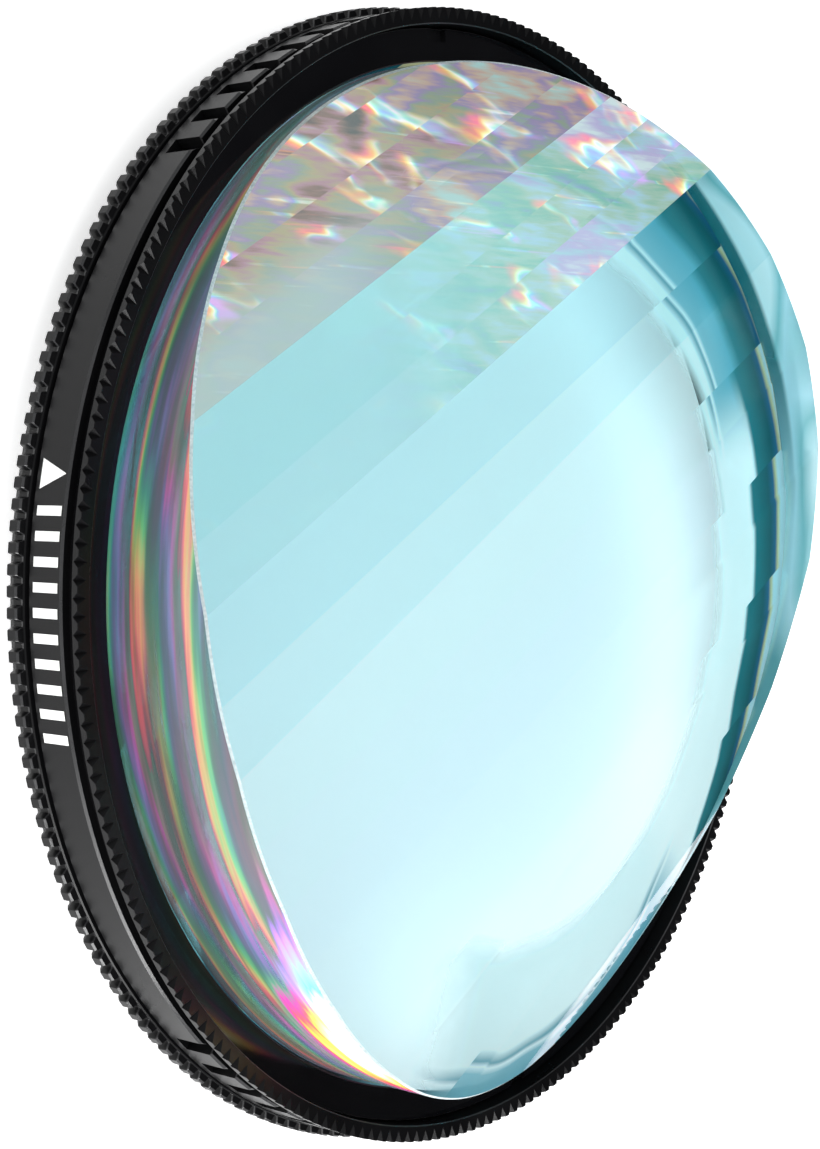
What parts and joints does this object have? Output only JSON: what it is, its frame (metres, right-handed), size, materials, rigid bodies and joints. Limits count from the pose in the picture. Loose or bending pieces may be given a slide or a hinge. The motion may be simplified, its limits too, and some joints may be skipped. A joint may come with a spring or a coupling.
{
  "type": "rotating prism lens filter",
  "caption": "Screw-in camera lens filter: a thick faceted linear-prism glass in a grip ring that turns freely on a knurled threaded mount ring.",
  "frame": {"origin": "centre of the threaded end, on the optical axis", "axes": "+Z along the optical axis, from the lens towards the subject; the smooth marked arc of the band faces -X"},
  "size_m": [0.0876, 0.0876, 0.0177],
  "materials": {
    "black_anodised": "satin black anodised, machined",
    "black_bezel": "semi-gloss black anodised, machined flat",
    "washer": "black filled slip plastic",
    "spring_wire": "drawn spring wire",
    "soft_seal": "thin matte black elastomer",
    "prism_glass": "polished optical glass with a thin interference coating",
    "white_fill": "white paint fill"
  },
  "bodies": {
    "mount_body": {"mount_ring": "black_anodised", "slip_washer_rear": "washer", "snap_wire": "spring_wire", "slip_washer_front": "washer"},
    "front_body": {"rotating_frame": "black_anodised", "index_pointer": "white_fill", "index_mark_01": "white_fill", "index_mark_02": "white_fill", "index_mark_03": "white_fill", "index_mark_04": "white_fill", "index_mark_05": "white_fill", "index_mark_06": "white_fill", "index_mark_07": "white_fill", "index_mark_08": "white_fill", "index_mark_09": "white_fill", "index_mark_10": "white_fill", "seat_gasket": "soft_seal", "prism_glass": "prism_glass", "front_seal": "soft_seal", "retaining_ring": "black_bezel"}
  },
  "joints": [
    {"name": "front_turn", "type": "hinge", "parent": "mount_body", "child": "front_body", "pos_m": [0, 0, 0.0049], "axis": [0, 0, 1], "continuous": true}
  ]
}
